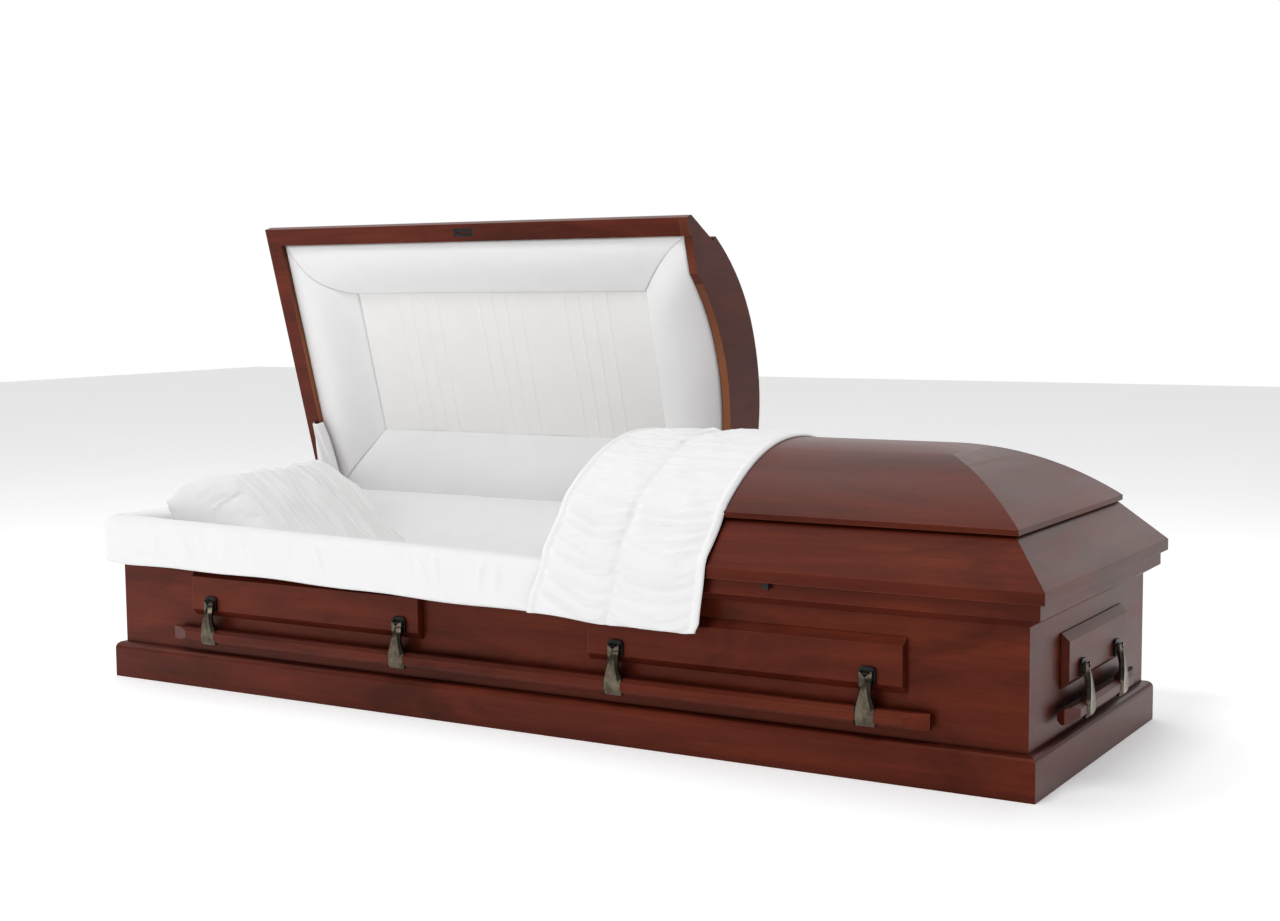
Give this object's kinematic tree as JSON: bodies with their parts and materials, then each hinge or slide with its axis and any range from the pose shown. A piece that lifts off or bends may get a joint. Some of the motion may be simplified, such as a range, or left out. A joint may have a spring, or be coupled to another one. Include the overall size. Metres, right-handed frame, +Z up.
{
  "type": "funeral casket",
  "caption": "Half-couch hardwood funeral casket with hinged domed lids, swing-bar handles on every side and a white cloth lining, pillow, apron and throw.",
  "frame": {"origin": "middle of the casket's flat underside, on the floor", "axes": "+X runs toward the foot end, the front with its latches and throw faces -Y, +Z is up"},
  "size_m": [2.1334, 0.8906, 0.9918],
  "materials": {
    "wood": "polished red-brown cherry",
    "bronze": "darkened bronze, satin",
    "black_metal": "black, satin",
    "cloth": "white crepe with a soft sheen"
  },
  "bodies": {
    "case": {"apron": "cloth", "base_moulding": "wood", "body_lining": "cloth", "cap_moulding": "wood", "end_board_foot": "wood", "end_board_head": "wood", "floor_board": "wood", "foot_lid_hinge_leaf_lower": "black_metal", "handle_lug_back_1": "black_metal", "handle_lug_back_2": "black_metal", "handle_lug_back_3": "black_metal", "handle_lug_back_4": "black_metal", "handle_lug_foot_1": "black_metal", "handle_lug_foot_2": "black_metal", "handle_lug_front_1": "black_metal", "handle_lug_front_2": "black_metal", "handle_lug_front_3": "black_metal", "handle_lug_front_4": "black_metal", "handle_lug_head_1": "black_metal", "handle_lug_head_2": "black_metal", "head_lid_hinge_leaf_lower": "black_metal", "mattress": "cloth", "panel_back_foot": "wood", "panel_back_head": "wood", "panel_foot_end": "wood", "panel_front_foot": "wood", "panel_front_head": "wood", "panel_head_end": "wood", "pillow": "cloth", "side_board_back": "wood", "side_board_front": "wood"},
    "foot_lid": {"foot_lid_catch": "black_metal", "foot_lid_crown": "wood", "foot_lid_frame": "wood", "foot_lid_header": "wood", "foot_lid_hinge_leaf_upper": "black_metal", "foot_lid_lining": "cloth", "foot_lid_throw": "cloth"},
    "handle_back": {"handle_arm_back_1": "bronze", "handle_arm_back_2": "bronze", "handle_arm_back_3": "bronze", "handle_arm_back_4": "bronze", "handle_bar_back": "wood"},
    "handle_foot": {"handle_arm_foot_1": "bronze", "handle_arm_foot_2": "bronze", "handle_bar_foot": "wood"},
    "handle_front": {"handle_arm_front_1": "bronze", "handle_arm_front_2": "bronze", "handle_arm_front_3": "bronze", "handle_arm_front_4": "bronze", "handle_bar_front": "wood"},
    "handle_head": {"handle_arm_head_1": "bronze", "handle_arm_head_2": "bronze", "handle_bar_head": "wood"},
    "head_lid": {"head_lid_crown": "wood", "head_lid_frame": "wood", "head_lid_header": "wood", "head_lid_hinge_leaf_upper": "black_metal", "head_lid_keeper": "black_metal", "head_lid_lining": "cloth"}
  },
  "joints": [
    {"name": "head_lid_hinge", "type": "hinge", "parent": "case", "child": "head_lid", "pos_m": [0, 0.3502, 0.2917], "axis": [1, 0, 0], "range_deg": [0, 72.6]},
    {"name": "foot_lid_hinge", "type": "hinge", "parent": "case", "child": "foot_lid", "pos_m": [0, 0.3502, 0.2917], "axis": [-1, 0, 0], "range_deg": [0, 74.3]},
    {"name": "handle_front_hinge", "type": "hinge", "parent": "case", "child": "handle_front", "pos_m": [0, -0.3478, 0.187], "axis": [-1, 0, 0], "range_deg": [0, 85]},
    {"name": "handle_back_hinge", "type": "hinge", "parent": "case", "child": "handle_back", "pos_m": [0, 0.3478, 0.187], "axis": [1, 0, 0], "range_deg": [0, 85]},
    {"name": "handle_foot_hinge", "type": "hinge", "parent": "case", "child": "handle_foot", "pos_m": [1.0543, 0, 0.187], "axis": [0, -1, 0], "range_deg": [0, 85]},
    {"name": "handle_head_hinge", "type": "hinge", "parent": "case", "child": "handle_head", "pos_m": [-1.0543, 0, 0.187], "axis": [0, 1, 0], "range_deg": [0, 85]}
  ]
}
